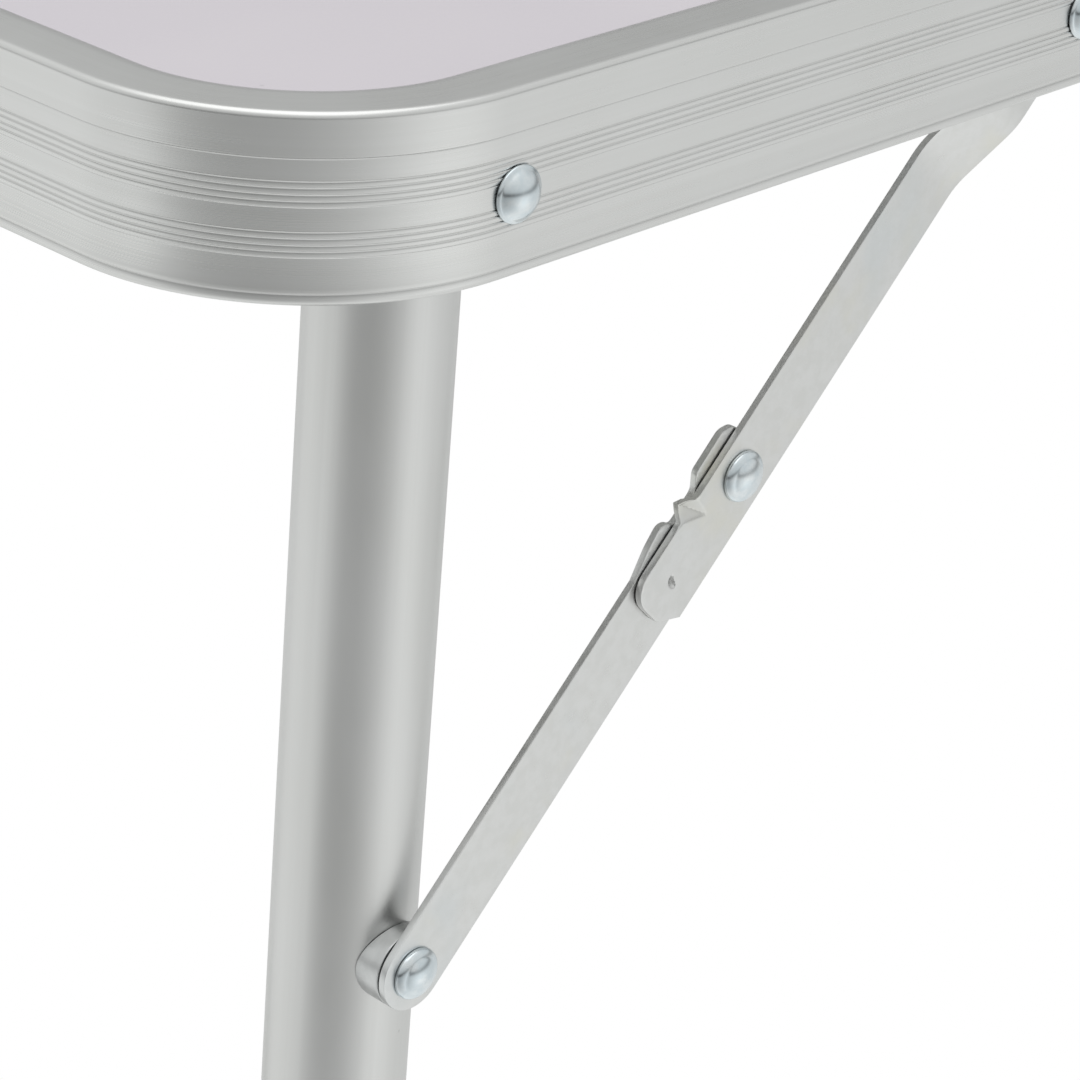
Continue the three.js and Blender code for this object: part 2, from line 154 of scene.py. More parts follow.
def make_piece(name, shell, material, body, nodes=(), signs=(-1, -1), smooth=40):
    """Turns a shell made for the front left quarter into a piece of the quarter with the given signs."""
    mesh = bpy.data.meshes.new(name)
    mirror = (-signs[0], -signs[1])
    points = [(p.x * mirror[0], p.y * mirror[1], p.z) for p in shell.points]
    mesh.from_pydata(points, [], shell.faces)
    layer = mesh.uv_layers.new(name="lengths")
    for polygon, uvs in zip(mesh.polygons, shell.uvs):
        for loop_index, uv in zip(polygon.loop_indices, uvs):
            layer.data[loop_index].uv = uv
    work = bmesh.new()
    work.from_mesh(mesh)
    bmesh.ops.remove_doubles(work, verts=work.verts, dist=1e-7)
    bmesh.ops.recalc_face_normals(work, faces=work.faces)
    limit = math.radians(smooth)
    for face in work.faces:
        face.smooth = True
    for edge in work.edges:
        edge.smooth = len(edge.link_faces) == 2 and edge.calc_face_angle(0) < limit
    work.to_mesh(mesh)
    work.free()
    mesh.materials.append(material)
    piece = bpy.data.objects.new(name, mesh)
    bpy.context.scene.collection.objects.link(piece)
    weighted = piece.modifiers.new("even_shading", "WEIGHTED_NORMAL")
    weighted.keep_sharp = True
    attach(piece, body)
    if nodes:
        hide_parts(*nodes)


def arc(centre, radius, start, end, steps):
    """Points on an arc, in degrees, both ends included."""
    angles = [math.radians(start + (end - start) * i / steps) for i in range(steps + 1)]
    return [(centre[0] + radius * math.cos(a), centre[1] + radius * math.sin(a)) for a in angles]


def turned(profile, place):
    """A body turned about Y through place, from (radius, y) points; y is measured from the place."""
    shell = Shell()
    rings = []
    for step in range(ROUND_STEPS):
        angle = 2 * math.pi * step / ROUND_STEPS
        spoke = Vector((math.cos(angle), 0, math.sin(angle)))
        rings.append([Vector((place[0], place[1] + y, place[2])) + spoke * radius for radius, y in profile])
    shell.loft(rings, loop=True)
    return shell


# ---------------------------------------------------------------- materials

class Graph:
    """Short names for building a material's nodes."""

    def __init__(self, name):
        self.material = bpy.data.materials.new(name)
        self.material.use_nodes = True
        self.nodes = self.material.node_tree.nodes
        self.links = self.material.node_tree.links
        self.shader = self.nodes["Principled BSDF"]

    def node(self, kind, **inputs):
        made = self.nodes.new(kind)
        for key, value in inputs.items():
            self.put(made, key, value)
        return made

    def put(self, node, key, value):
        socket = node.inputs[key.replace("_", " ")] if isinstance(key, str) else node.inputs[key]
        if isinstance(value, bpy.types.NodeSocket):
            self.links.new(value, socket)
        else:
            socket.default_value = value

    def place(self, kind, scale):
        """Texture coordinates of a kind, stretched by scale."""
        coordinates = self.nodes.new("ShaderNodeTexCoord")
        mapping = self.nodes.new("ShaderNodeMapping")
        mapping.inputs["Scale"].default_value = scale
        self.links.new(coordinates.outputs[kind], mapping.inputs["Vector"])
        return mapping.outputs["Vector"]

    def noise(self, vector, scale, detail):
        made = self.node("ShaderNodeTexNoise", Vector=vector, Scale=scale, Detail=detail)
        made.inputs["Roughness"].default_value = 0.55
        return made.outputs["Fac"]

    def band(self, value, low, high, out_low=0.0, out_high=1.0):
        """Maps low..high of a value onto out_low..out_high."""
        made = self.nodes.new("ShaderNodeMapRange")
        made.interpolation_type = "SMOOTHSTEP"
        self.links.new(value, made.inputs["Value"])
        limits = {"From Min": low, "From Max": high, "To Min": out_low, "To Max": out_high}
        for key, number in limits.items():
            made.inputs[key].default_value = number
        return made.outputs["Result"]

    def combine(self, first, second, operation="ADD"):
        """Adds two values, or works on them as the operation says."""
        made = self.nodes.new("ShaderNodeMath")
        made.operation = operation
        for socket, value in zip(made.inputs, (first, second)):
            if isinstance(value, bpy.types.NodeSocket):
                self.links.new(value, socket)
            else:
                socket.default_value = value
        return made.outputs["Value"]

    def mix(self, factor, first, second):
        made = self.nodes.new("ShaderNodeMix")
        made.data_type = "RGBA"
        for key, value in (("Factor", factor), ("A", first), ("B", second)):
            kind = "VALUE" if key == "Factor" else "RGBA"
            socket = next(s for s in made.inputs if s.name == key and s.type == kind)
            if isinstance(value, bpy.types.NodeSocket):
                self.links.new(value, socket)
            else:
                socket.default_value = value
        return next(s for s in made.outputs if s.type == "RGBA")

    def bump(self, height, strength, distance, normal=None):
        made = self.node("ShaderNodeBump", Height=height, Strength=strength, Distance=distance)
        if normal is not None:
            self.links.new(normal, made.inputs["Normal"])
        return made.outputs["Normal"]

    def finish(self, **inputs):
        for key, value in inputs.items():
            self.put(self.shader, key, value)
        return self.material


def rgb(red, green, blue):
    return (red, green, blue, 1.0)


def extruded_aluminium():
    """Satin anodised: fine die lines along the rail, faint clouding and a fine grain."""
    graph = Graph("extruded_aluminium")
    lines = graph.noise(graph.place("UV", (6, 5200, 1)), 1.0, 2.0)
    broad = graph.noise(graph.place("UV", (2, 420, 1)), 1.0, 2.0)
    clouds = graph.noise(graph.place("Object", (1, 1, 1)), 38.0, 3.0)
    grain = graph.noise(graph.place("Object", (1, 1, 1)), 5200.0, 1.0)
    tone = graph.combine(graph.band(broad, 0.3, 0.7, 0.0, 0.5), graph.band(clouds, 0.3, 0.7, 0.0, 0.5))
    colour = graph.mix(tone, rgb(0.70, 0.70, 0.69), rgb(0.75, 0.75, 0.745))
    gloss = graph.combine(graph.band(lines, 0.25, 0.75, 0.26, 0.34),
                          graph.band(clouds, 0.3, 0.7, -0.02, 0.03))
    die = graph.bump(lines, 0.04, 0.00001)
    normal = graph.bump(grain, 0.02, 0.00001, die)
    return graph.finish(Base_Color=colour, Metallic=1.0, Roughness=gloss, Normal=normal)


def drawn_aluminium():
    """Satin drawn tube: soft lengthwise lines, clouding, small pits and a few dark specks."""
    graph = Graph("drawn_aluminium")
    lines = graph.noise(graph.place("UV", (3800, 9, 1)), 1.0, 2.0)
    clouds = graph.noise(graph.place("Object", (1, 1, 0.35)), 60.0, 3.0)
    grain = graph.noise(graph.place("Object", (1, 1, 1)), 4200.0, 1.0)
    pits = graph.node("ShaderNodeTexVoronoi", Vector=graph.place("Object", (1, 1, 0.8)), Scale=85.0)
    pit = graph.band(pits.outputs["Distance"], 0.02, 0.05, 1.0, 0.0)
    chosen = graph.band(pits.outputs["Color"], 0.62, 0.66)
    speck = graph.combine(pit, chosen, "MULTIPLY")
    tone = graph.band(clouds, 0.3, 0.7)
    clean = graph.mix(tone, rgb(0.69, 0.69, 0.68), rgb(0.73, 0.73, 0.725))
    colour = graph.mix(speck, clean, rgb(0.42, 0.42, 0.41))
    gloss = graph.combine(graph.band(lines, 0.3, 0.7, 0.34, 0.4),
                          graph.band(clouds, 0.3, 0.7, -0.02, 0.03))
    drawn = graph.bump(lines, 0.08, 0.00002)
    grainy = graph.bump(grain, 0.08, 0.00002, drawn)
    normal = graph.bump(speck, -0.5, 0.0001, grainy)
    return graph.finish(Base_Color=colour, Metallic=1.0, Roughness=gloss, Normal=normal)


def zinc_strip():
    """Bright zinc on rolled strip: yellow and blue tints in soft patches, rolling lines, small marks."""
    graph = Graph("zinc_strip")
    patches = graph.noise(graph.place("Object", (1, 1, 1)), 70.0, 3.0)
    blue = graph.noise(graph.place("Object", (1.3, 1, 0.9)), 46.0, 2.0)
    spangle = graph.noise(graph.place("Object", (1, 1, 1)), 420.0, 3.0)
    grain = graph.noise(graph.place("Object", (1, 1, 1)), 5200.0, 1.0)
    base = graph.mix(graph.band(spangle, 0.3, 0.7), rgb(0.71, 0.71, 0.70), rgb(0.76, 0.76, 0.755))
    warm = graph.mix(graph.band(patches, 0.5, 0.75, 0.0, 0.4), base, rgb(0.76, 0.74, 0.63))
    colour = graph.mix(graph.band(blue, 0.52, 0.75, 0.0, 0.3), warm, rgb(0.64, 0.69, 0.72))
    gloss = graph.combine(graph.band(spangle, 0.25, 0.75, 0.28, 0.38),
                          graph.band(patches, 0.3, 0.7, -0.02, 0.04))
    rolled = graph.bump(spangle, 0.02, 0.00003)
    normal = graph.bump(grain, 0.02, 0.00001, rolled)
    return graph.finish(Base_Color=colour, Metallic=1.0, Roughness=gloss, Normal=normal)


def zinc_rivet():
    """Blue-white zinc, nearly polished, with a scuffed crown."""
    graph = Graph("zinc_rivet")
    cloud = graph.noise(graph.place("Object", (1, 1, 1)), 420.0, 3.0)
    scuff = graph.noise(graph.place("Object", (1, 1, 1)), 2600.0, 2.0)
    colour = graph.mix(graph.band(cloud, 0.35, 0.7), rgb(0.68, 0.75, 0.79), rgb(0.80, 0.84, 0.86))
    gloss = graph.combine(graph.band(cloud, 0.3, 0.7, 0.14, 0.22),
                          graph.band(scuff, 0.55, 0.75, 0.0, 0.08))
    normal = graph.bump(cloud, 0.05, 0.00003)
    return graph.finish(Base_Color=colour, Metallic=1.0, Roughness=gloss, Normal=normal)


def turned_steel():
    """Plated spacers and washers: turning marks and a duller grey."""
    graph = Graph("turned_steel")
    cloud = graph.noise(graph.place("Object", (1, 1, 1)), 260.0, 3.0)
    turning = graph.noise(graph.place("UV", (20, 5200, 1)), 1.0, 2.0)
    colour = graph.mix(graph.band(cloud, 0.3, 0.7), rgb(0.60, 0.61, 0.61), rgb(0.70, 0.71, 0.71))
    gloss = graph.band(turning, 0.3, 0.7, 0.28, 0.4)
    normal = graph.bump(turning, 0.1, 0.00003)
    return graph.finish(Base_Color=colour, Metallic=1.0, Roughness=gloss, Normal=normal)


def white_laminate():
    """Pressed melamine: an even cool white with a very fine pearl texture and the odd dust mark."""
    graph = Graph("white_laminate")
    pearl = graph.noise(graph.place("Object", (1, 1, 1)), 1500.0, 3.0)
    wave = graph.noise(graph.place("Object", (1, 1, 1)), 14.0, 2.0)
    dust = graph.node("ShaderNodeTexVoronoi", Vector=graph.place("Object", (1, 1, 1)), Scale=48.0)
    mark = graph.combine(graph.band(dust.outputs["Distance"], 0.015, 0.03, 1.0, 0.0),
                     graph.band(dust.outputs["Color"], 0.7, 0.74), "MULTIPLY")
    clean = graph.mix(graph.band(wave, 0.35, 0.65), rgb(0.70, 0.655, 0.705), rgb(0.72, 0.675, 0.72))
    colour = graph.mix(graph.combine(mark, 0.35, "MULTIPLY"), clean, rgb(0.45, 0.44, 0.45))
    gloss = graph.band(pearl, 0.3, 0.7, 0.3, 0.38)
    normal = graph.bump(pearl, 0.1, 0.00005)
    return graph.finish(Base_Color=colour, Roughness=gloss, Normal=normal, IOR=1.5)


def board_core():
    """The board's underside: pale grey backing paper, faintly fibrous."""
    graph = Graph("board_core")
    fibre = graph.noise(graph.place("Object", (1, 1, 1)), 620.0, 4.0)
    colour = graph.mix(graph.band(fibre, 0.3, 0.7), rgb(0.60, 0.60, 0.59), rgb(0.66, 0.66, 0.65))
    normal = graph.bump(fibre, 0.1, 0.00005)
    return graph.finish(Base_Color=colour, Roughness=0.6, Normal=normal)


def moulded_plastic():
    """Black polypropylene with a spark-eroded grain, rubbed paler where it wears."""
    graph = Graph("moulded_plastic")
    grain = graph.noise(graph.place("Object", (1, 1, 1)), 2200.0, 2.0)
    worn = graph.noise(graph.place("Object", (1, 1, 1)), 120.0, 3.0)
    colour = graph.mix(graph.band(worn, 0.45, 0.75), rgb(0.016, 0.016, 0.018), rgb(0.035, 0.036, 0.038))
    gloss = graph.band(worn, 0.3, 0.7, 0.42, 0.56)
    normal = graph.bump(grain, 0.25, 0.00006)
    return graph.finish(Base_Color=colour, Roughness=gloss, Normal=normal)


RAIL_METAL = extruded_aluminium()
TUBE_METAL = drawn_aluminium()
STRAP_METAL = zinc_strip()
RIVET_METAL = zinc_rivet()
SPACER_METAL = turned_steel()
LAMINATE = white_laminate()
CORE = board_core()
PLASTIC = moulded_plastic()


# ---------------------------------------------------------------- edge rail

def grooves(face, levels, bulge):
    """Fine V grooves at the levels, with the metal between them very slightly crowned."""
    points = []
    for index, level in enumerate(levels):
        points += [(face, level + 0.07), (face + 0.06, level), (face, level - 0.07)]
        if index + 1 < len(levels):
            span = levels[index + 1] - level
            points += [(face - bulge * 0.8, level + span * 0.22), (face - bulge, level + span * 0.5),
                       (face - bulge * 0.45, level + span * 0.8)]
    return points


def rail_section():
    """The rail's section in millimetres: inset from its outside, and height above its top."""
    height = RAIL_HEIGHT / MM
    face = 0.14
    # the lip, from its tip over the board to the outer top edge
    points = [(11.3, -1.15), (11.42, -0.95), (11.3, -0.72), (10.6, -0.42), (9.4, -0.14)]
    points += [(8.2, -0.03), (6.9, 0.0), (4.0, 0.0), (1.5, -0.03)]
    points += arc((1.15, -1.15), 1.1, 90, 180, 8)
    # the outer face: a plain band, a small step and two sets of grooves
    points += [(0.03, -3.0), (0.03, -6.7), (0.06, -6.98), (0.27, -7.1), (face, -7.3)]
    points += [(face - 0.02, -9.0)]
    points += grooves(face, (-10.6, -11.61, -12.68, -13.68, -14.7), 0.09)
    points += [(face - 0.03, -16.6)]
    points += grooves(face, (-18.5, -19.52, -20.6, -21.57, -22.6), 0.09)
    # the flare and the bead at the bottom
    points += [(face + 0.04, -24.4)]
    for step in range(1, 9):
        share = step / 8
        points.append((face + 0.04 - (face - 0.02) * share ** 2, -24.4 - 3.7 * share))
    points += [(0.16, -28.34), (0.03, -28.55)]
    points += arc((1.3, -height + 1.3), 1.3, 180, 270, 8)
    points += [(3.0, -height), (3.4, -height + 0.15), (3.5, -height + 0.5), (3.5, -height + 1.2)]
    points += [(3.3, -height + 1.5), (1.9, -height + 1.5), (1.5, -height + 1.9)]
    # the inner side: the web, the ledge under the board and the slot for the board's edge
    points += [(1.5, -5.7), (1.9, -5.3), (9.2, -5.3), (9.5, -5.1), (9.5, -4.5), (9.2, -4.3), (1.5, -4.3)]
    points += [(1.5, -1.35), (1.6, -1.2), (10.9, -1.2)]
    return [(inset * MM, level * MM) for inset, level in points]


def rail_stations():
    """Places and inward directions round half of the rail, from the back's middle to the front's."""
    stations = [(Vector((-RAIL_END, HALF_WIDTH)), Vector((0, -1)))]
    centre_x = -HALF_LENGTH + CORNER_RADIUS
    corner_y = HALF_WIDTH - CORNER_RADIUS
    for centre_y, start in ((corner_y, 90), (-corner_y, 180)):
        for step in range(CORNER_STEPS + 1):
            angle = math.radians(start + 90 * step / CORNER_STEPS)
            out = Vector((math.cos(angle), math.sin(angle)))
            stations.append((Vector((centre_x, centre_y)) + CORNER_RADIUS * out, -out))
    stations.append((Vector((-RAIL_END, -HALF_WIDTH)), Vector((0, 1))))
    return stations


def edge_rails():
    section = rail_section()
    rings = []
    for place, inward in rail_stations():
        ring = []
        for inset, level in section:
            spot = place + inset * inward
            ring.append((spot.x, spot.y, TOP + level))
        rings.append(ring)
    shell = Shell()
    shell.loft(rings)
    for end, sign in (("left", -1), ("right", 1)):
        node = f"edge_rail_{end}"
        make_piece(f"rail_{end}", shell, RAIL_METAL, "tabletop", [node], (sign, -1), 32)


# ---------------------------------------------------------------- board

def outline(inset, level):
    """A rounded rectangle at an inset from the table's outside, at a level."""
    radius = CORNER_RADIUS - inset
    x = HALF_LENGTH - CORNER_RADIUS
    y = HALF_WIDTH - CORNER_RADIUS
    ring = []
    for centre, start in (((x, -y), -90), ((x, y), 0), ((-x, y), 90), ((-x, -y), 180)):
        ring += [(px, py, level) for px, py in arc(centre, radius, start, start + 90, CORNER_STEPS)]
    return ring


def board():
    """A laminate face over a fibreboard core; its edge is rebated to slide under the rail's lip."""
    lip = 11.62 * MM
    edge = 1.8 * MM
    break_edge = 0.15 * MM
    skin = 0.35 * MM
    top, bottom = BOARD_HIGH.z, BOARD_LOW.z
    rebate = top - 0.4 * MM
    core_top = rebate - skin - 0.02 * MM
    face = Shell()
    face.loft([
        outline(edge, rebate - skin),
        outline(edge, rebate),
        outline(lip, rebate),
        outline(lip, top - break_edge),
        outline(lip + break_edge * 0.3, top - break_edge * 0.3),
        outline(lip + break_edge, top),
    ])
    make_piece("laminate_face", face, LAMINATE, "tabletop", ["table_board"], smooth=30)
    core = Shell()
    core.loft([
        outline(edge + break_edge, bottom),
        outline(edge, bottom + break_edge),
        outline(edge, core_top),
        outline(edge + break_edge, core_top),
    ])
    make_piece("fibreboard_core", core, CORE, "tabletop", smooth=30)


# ---------------------------------------------------------------- leg frames

def tilted(x, y, z, origin):
    """A point given in a left leg's own frame, with z up the leg, placed at the origin."""
    across = Vector((math.cos(SPLAY), 0, -math.sin(SPLAY)))
    up = Vector((math.sin(SPLAY), 0, math.cos(SPLAY)))
    return Vector(origin) + across * x + Vector((0, y, 0)) + up * z


def leg_tube(signs, name, body, node):
    """A tube whose top is rounded about the leg pivot, so that it clears the board as it folds."""
    length = (LEG_PIVOT.z / math.cos(SPLAY)) - LEG_CAP_HEIGHT - 0.3 * MM
    inner = TUBE_RADIUS - TUBE_WALL
    ease = 0.25 * MM
    origin = (LEG_PIVOT.x, TUBE_Y, LEG_PIVOT.z)
    shell = Shell()
    rings = []
    levels = (0.02, 0.2, 0.4, 0.6, 0.8)
    steps = 96
    for step in range(steps):
        angle = 2 * math.pi * (step + 0.5) / steps
        ring = []
        nose_out = TUBE_RADIUS * abs(math.sin(angle))
        nose_in = math.sqrt(max(TUBE_RADIUS ** 2 - (inner * math.cos(angle)) ** 2, 0))
        outside = [(TUBE_RADIUS, nose_out - ease)]
        outside += [(TUBE_RADIUS, -length * share) for share in levels]
        outside += [(TUBE_RADIUS, -length + ease), (TUBE_RADIUS - ease, -length)]
        inside = [(inner + ease, -length), (inner, -length + ease), (inner, nose_in - ease)]
        inside += [(inner + ease, nose_in), (TUBE_RADIUS - ease, nose_out)]
        for radius, level in outside + inside:
            ring.append(tilted(radius * math.cos(angle), radius * math.sin(angle), level, origin))
        rings.append(ring)
    shell.loft(rings, loop=True)
    make_piece(name, shell, TUBE_METAL, body, [node], signs)


def cross_tube(sign, name, body, node):
    """The tube that joins two legs, its ends hollowed to sit on them."""
    inner = CROSS_RADIUS - TUBE_WALL
    steps = 72
    shell = Shell()
    rings = []
    for step in range(steps):
        angle = 2 * math.pi * step / steps
        ring = []
        for radius, order in ((CROSS_RADIUS, 1), (inner, -1)):
            x = radius * math.cos(angle)
            end = -TUBE_Y - math.sqrt((TUBE_RADIUS + 0.1 * MM) ** 2 - x ** 2)
            for share in (-1, -0.5, 0, 0.5, 1):
                ring.append(tilted(x, order * share * end, radius * math.sin(angle), CROSS))
        rings.append(ring)
    shell.loft(rings, loop=True)
    make_piece(name, shell, TUBE_METAL, body, [node], (sign, -1))


def weld_bead(signs, name, body):
    """A rippled fillet weld round the joint of a cross tube and a leg."""
    steps = 216
    ripples = 36
    shell = Shell()
    rings = []
    for step in range(steps):
        angle = 2 * math.pi * step / steps
        x = CROSS_RADIUS * math.cos(angle)
        y = TUBE_Y - CROSS.y + math.sqrt(TUBE_RADIUS ** 2 - x ** 2)
        spoke = (math.cos(angle), math.sin(angle))
        size = (1.15 + 0.22 * abs(math.sin(ripples / 2 * angle))) * MM
        ring = []
        for turn in range(10):
            around = 2 * math.pi * turn / 10
            out = CROSS_RADIUS + size * math.cos(around)
            ring.append(tilted(spoke[0] * out, y + size * math.sin(around), spoke[1] * out, CROSS))
        rings.append(ring)
    shell.loft(rings, loop=True)
    make_piece(name, shell, TUBE_METAL, body, signs=signs, smooth=50)


def foot_cap(signs, name, body, node):
    """A ribbed plastic cap pushed up into the leg and cut level where it stands."""
    origin = (LEG_PIVOT.x - LEG_PIVOT.z * math.tan(SPLAY), TUBE_Y, 0.0)
    steps = 144
    rib_every = 6
    rib_width = 3
    rib_depth = 0.45 * MM
    plug_radius = 11 * MM
    plug_top = 34 * MM
    base_radius = TUBE_RADIUS - 1.2 * MM
    hole = 0.3 * MM
    shell = Shell()
    rings = []
    for step in range(steps):
        angle = 2 * math.pi * step / steps
        grip = TUBE_RADIUS - (0.0 if step % rib_every < rib_width else rib_depth)
        x_part = math.cos(angle)

        def floor_level(radius):
            return radius * x_part * math.tan(SPLAY)

        profile = [(hole, floor_level(hole)), (base_radius, floor_level(base_radius))]
        profile += [(TUBE_RADIUS - 0.35 * MM, floor_level(TUBE_RADIUS) + 0.3 * MM)]
        profile += [(TUBE_RADIUS, floor_level(TUBE_RADIUS) + 1.0 * MM), (TUBE_RADIUS, 2.6 * MM)]
        profile += [(grip, 3.0 * MM), (grip, 10.6 * MM), (TUBE_RADIUS, 11.0 * MM), (TUBE_RADIUS, 13.4 * MM)]
        profile += [(TUBE_RADIUS - 0.5 * MM, LEG_CAP_HEIGHT), (plug_radius, LEG_CAP_HEIGHT)]
        profile += [(plug_radius, plug_top - 1 * MM), (plug_radius - 1 * MM, plug_top), (hole, plug_top)]
        rings.append([tilted(r * x_part, r * math.sin(angle), z, origin) for r, z in profile])
    shell.loft(rings, loop=True)
    make_piece(name, shell, PLASTIC, body, [node], signs)


# ---------------------------------------------------------------- rivets and rings

def dome(radius, height, shoulder):
    """A head's outline from crown to seat: a shallow crown, a rounded shoulder and an undercut rim."""
    steps = 12
    rim = 0.3 * MM
    reach = radius - shoulder
    crown = height - rim - shoulder
    sphere = (reach ** 2 + crown ** 2) / (2 * crown)
    spread = math.asin(min(1.0, reach / sphere))
    points = []
    for step in range(steps + 1):
        angle = spread * step / steps
        points.append((max(sphere * math.sin(angle), AXIS_GAP), -height + sphere * (1 - math.cos(angle))))
    for step in range(1, steps + 1):
        angle = spread + (math.pi / 2 - spread) * step / steps
        points.append((reach + shoulder * (math.sin(angle) - math.sin(spread)) / (1 - math.sin(spread)),
                       -rim - shoulder * math.cos(angle) / math.cos(spread)))
    return points + [(radius, -rim), (radius - 0.05 * MM, -rim * 0.5), (radius - 0.35 * MM, 0.0)]


def clinched_end(reach):
    """The outline of a shank's far end, spread and dished, from where the shank ends."""
    far = reach + CLINCH_DEPTH
    dish = reach + 0.7 * MM
    points = [(CLINCH_RADIUS - 0.2 * MM, reach), (CLINCH_RADIUS, reach + 0.3 * MM)]
    points += [(CLINCH_RADIUS * 0.92, reach + 1.0 * MM), (CLINCH_RADIUS * 0.75, far)]
    return points + [(CLINCH_RADIUS * 0.5, far), (CLINCH_RADIUS * 0.4, dish), (AXIS_GAP, dish)]


def front_left(node):
    """The same node's name in the front left quarter, where every shape is first made."""
    stem = node.rsplit("_", 2)[0]
    return f"{stem}_front_left"


def rivet(signs, name, body, node, seat, reach, height, shoulder, clinched=True):
    """A rivet along Y from its head's seat, with its far end clinched or left flat."""
    place = middle(front_left(node))
    profile = dome(HEAD_RADIUS, height, shoulder)
    profile += [(SHANK_RADIUS, 0.0), (SHANK_RADIUS, reach)]
    profile += clinched_end(reach) if clinched else [(AXIS_GAP, reach)]
    shell = turned(profile, (place.x, seat, place.z))
    make_piece(name, shell, RIVET_METAL, body, [node], signs)


def ring(signs, name, body, node, material, slot, saddle=False):
    """A turned ring of a node's own size; a saddle end sits on the leg tube."""
    low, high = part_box(front_left(node))
    centre = (low + high) / 2
    radius = (high.z - low.z) / 2
    bevel = 0.4 * MM
    shell = Shell()
    rings = []
    for step in range(ROUND_STEPS):
        angle = 2 * math.pi * step / ROUND_STEPS
        spoke = Vector((math.cos(angle), 0, math.sin(angle)))

        def far_end(r):
            if not saddle:
                return high.y
            across = r * math.cos(angle)
            return TUBE_Y - math.sqrt((TUBE_RADIUS + 0.1 * MM) ** 2 - across ** 2)

        profile = [(HOLE_RADIUS, low.y + bevel), (HOLE_RADIUS + bevel, low.y), (radius - bevel, low.y)]
        profile += [(radius - bevel * 0.3, low.y + bevel * 0.3), (radius, low.y + bevel)]
        profile += [(radius, far_end(radius) - bevel * 0.5), (radius - bevel * 0.5, far_end(radius))]
        profile += [(HOLE_RADIUS, far_end(HOLE_RADIUS))]
        rings.append([Vector((centre.x, y, centre.z)) + spoke * r for r, y in profile])
    shell.loft(rings, loop=True)
    make_piece(name, shell, material, body, [node], signs)


def stud(signs, name, body, node):
    """The lower rivet's inner half, clinched behind the leg."""
    low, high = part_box(front_left(node))
    centre = (low + high) / 2
    reach = high.y - CLINCH_DEPTH
    profile = [(AXIS_GAP, low.y), (SHANK_RADIUS - 0.2 * MM, low.y), (SHANK_RADIUS, low.y + 0.2 * MM)]
    profile += [(SHANK_RADIUS, reach)] + clinched_end(reach)
    shell = turned(profile, (centre.x, 0, centre.z))
    make_piece(name, shell, RIVET_METAL, body, [node], signs)


# ---------------------------------------------------------------- brace links

def spread_points(loop, spacing):
    """The loop with extra points along its long stretches."""
    made = []
    for index, point in enumerate(loop):
        here = Vector(point)
        after = Vector(loop[(index + 1) % len(loop)])
        parts = max(1, round((after - here).length / spacing))
        made += [tuple(here.lerp(after, part / parts)) for part in range(parts)]
    return made


def offset(loop, distance):
    """The loop moved inwards by a distance; an anticlockwise loop shrinks."""
    moved = []
    count = len(loop)
    for index in range(count):
        x, y = loop[index]
        run = (Vector(loop[(index + 1) % count]) - Vector(loop[index - 1])).normalized()
        moved.append((x - run.y * distance, y + run.x * distance))
    return moved


def inside(point, loop):
    """Whether a point is within a loop, by counting the edges to its right."""
    x, y = point
    odd = False
    for (ax, ay), (bx, by) in zip(loop, loop[1:] + loop[:1]):
        if (ay > y) != (by > y) and x < (bx - ax) * (y - ay) / (by - ay) + ax:
            odd = not odd
    return odd


def hole_centre(hole):
    return (sum(p[0] for p in hole) / len(hole), sum(p[1] for p in hole) / len(hole))


def pivot_hole(u):
    return arc((u, 0), HOLE_RADIUS, 0, 360, 32)[:-1]


def near_hole(spot, holes, reach):
    return any((Vector(spot) - Vector(hole_centre(hole))).length < reach for hole in holes)


def in_patch(spot, patch):
    centre, reach, _ = patch
    return max(abs(spot[0] - centre[0]), abs(spot[1] - centre[1])) < reach


def face_grid(loop, holes, fine):
    """Points spread over a face, clear of its edge and holes, and closer together in the fine patches."""
    lows = [min(p[k] for p in loop) for k in (0, 1)]
    highs = [max(p[k] for p in loop) for k in (0, 1)]
    inner = offset(loop, 0.5 * MM)
    clear = HOLE_RADIUS + 0.6 * MM
    grid = []
    for centre, reach, spacing in [(None, None, GRID_SPACING)] + list(fine):
        low = lows if centre is None else [max(lows[k], centre[k] - reach) for k in (0, 1)]
        high = highs if centre is None else [min(highs[k], centre[k] + reach) for k in (0, 1)]
        for i in range(int((high[0] - low[0]) / spacing) + 1):
            for j in range(int((high[1] - low[1]) / spacing) + 1):
                spot = (low[0] + i * spacing, low[1] + j * spacing)
                if not inside(spot, inner) or near_hole(spot, holes, clear):
                    continue
                if centre is None and any(in_patch(spot, patch) for patch in fine):
                    continue
                grid.append(spot)
    return grid


